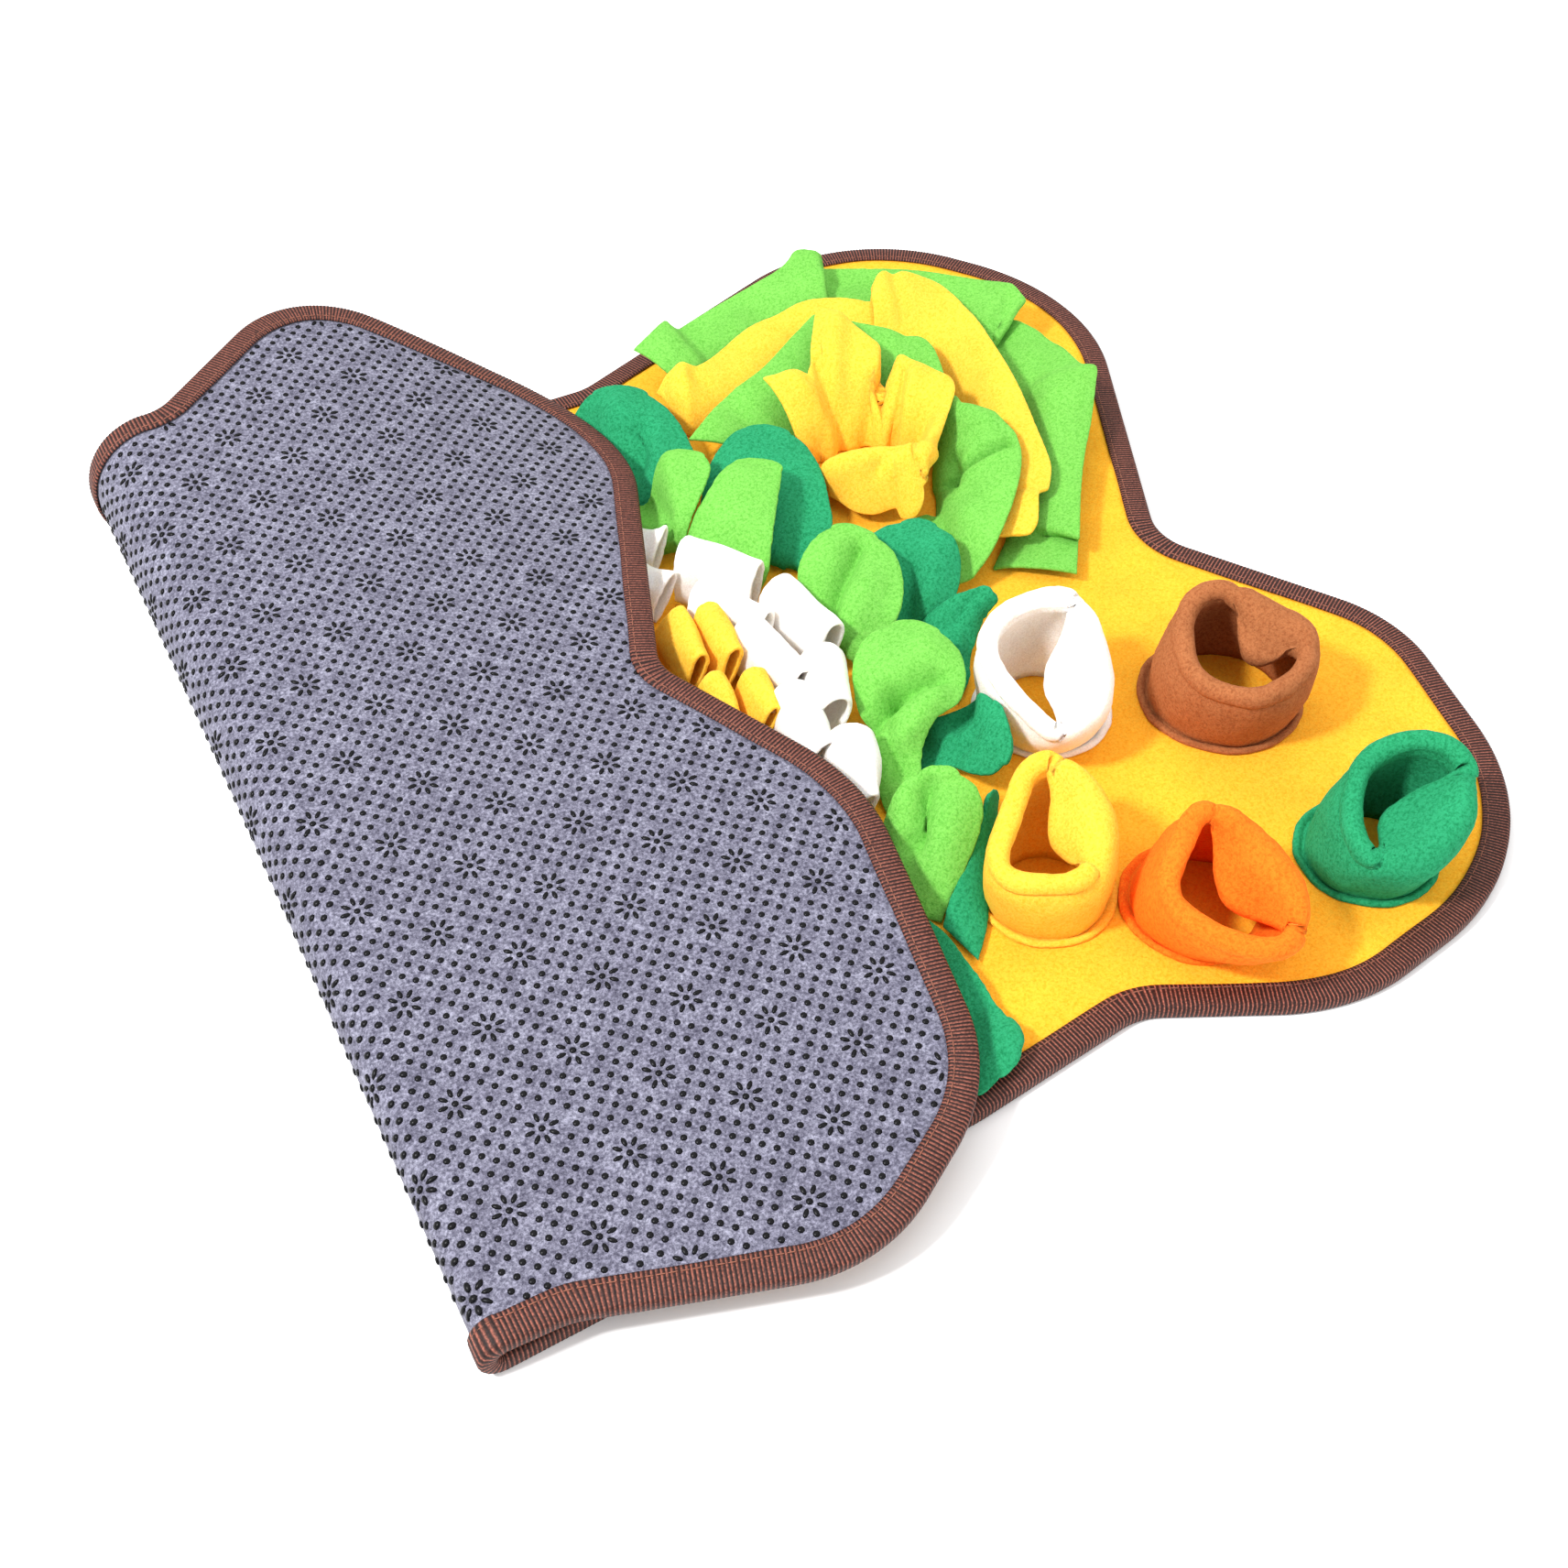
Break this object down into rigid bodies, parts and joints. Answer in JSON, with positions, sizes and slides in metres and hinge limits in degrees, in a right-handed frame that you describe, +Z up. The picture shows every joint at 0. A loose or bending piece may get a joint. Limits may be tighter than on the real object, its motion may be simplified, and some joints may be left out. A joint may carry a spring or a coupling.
{
  "type": "snuffle mat",
  "caption": "Bone-shaped fleece snuffle mat for dogs, folded over itself, with felt backing, webbing edge, a daisy of loops and petals, a rosette and soft treat cups.",
  "frame": {"origin": "centre of the folded mat's bounding box, on the floor", "axes": "+Z up, +Y along the fold, +X across it from the fold towards the half that lies open"},
  "size_m": [0.4644, 0.502, 0.0599],
  "materials": {
    "felt_grey": "matt heathered felt",
    "fleece_gold": "matt brushed fleece",
    "webbing_brown": "ribbed woven webbing",
    "fleece_white": "matt brushed fleece",
    "fleece_brown": "matt brushed fleece",
    "fleece_yellow": "matt brushed fleece",
    "fleece_orange": "matt brushed fleece",
    "fleece_dark_green": "matt brushed fleece",
    "fleece_light_green": "matt brushed fleece"
  },
  "bodies": {
    "root": {"backing_felt": "felt_grey", "top_fleece": "fleece_gold", "edge_binding": "webbing_brown", "cup_white": "fleece_white", "loop_white_inner_1": "fleece_white", "loop_white_inner_2": "fleece_white", "loop_white_inner_3": "fleece_white", "loop_white_inner_4": "fleece_white", "loop_white_inner_5": "fleece_white", "loop_white_inner_6": "fleece_white", "loop_white_outer_1": "fleece_white", "loop_white_outer_2": "fleece_white", "loop_white_outer_3": "fleece_white", "loop_white_outer_4": "fleece_white", "loop_white_outer_5": "fleece_white", "loop_white_edge_1": "fleece_white", "cup_brown": "fleece_brown", "cup_yellow": "fleece_yellow", "rosette_yellow_outer": "fleece_yellow", "rosette_yellow_inner": "fleece_yellow", "loop_yellow_inner_1": "fleece_yellow", "loop_yellow_inner_2": "fleece_yellow", "loop_yellow_inner_3": "fleece_yellow", "loop_yellow_inner_4": "fleece_yellow", "loop_yellow_outer_1": "fleece_yellow", "loop_yellow_outer_2": "fleece_yellow", "loop_yellow_outer_3": "fleece_yellow", "loop_yellow_outer_4": "fleece_yellow", "loop_yellow_outer_5": "fleece_yellow", "cup_orange": "fleece_orange", "cup_dark_green": "fleece_dark_green", "petal_dark_a": "fleece_dark_green", "petal_dark_b": "fleece_dark_green", "petal_dark_c": "fleece_dark_green", "petal_dark_d": "fleece_dark_green", "petal_dark_e": "fleece_dark_green", "petal_dark_f": "fleece_dark_green", "petal_dark_g": "fleece_dark_green", "rosette_green_outer": "fleece_light_green", "rosette_green_inner": "fleece_light_green", "petal_light_a": "fleece_light_green", "petal_light_b": "fleece_light_green", "petal_light_c": "fleece_light_green", "petal_light_d": "fleece_light_green", "petal_light_e": "fleece_light_green", "petal_light_f": "fleece_light_green", "petal_light_g": "fleece_light_green"}
  },
  "joints": []
}
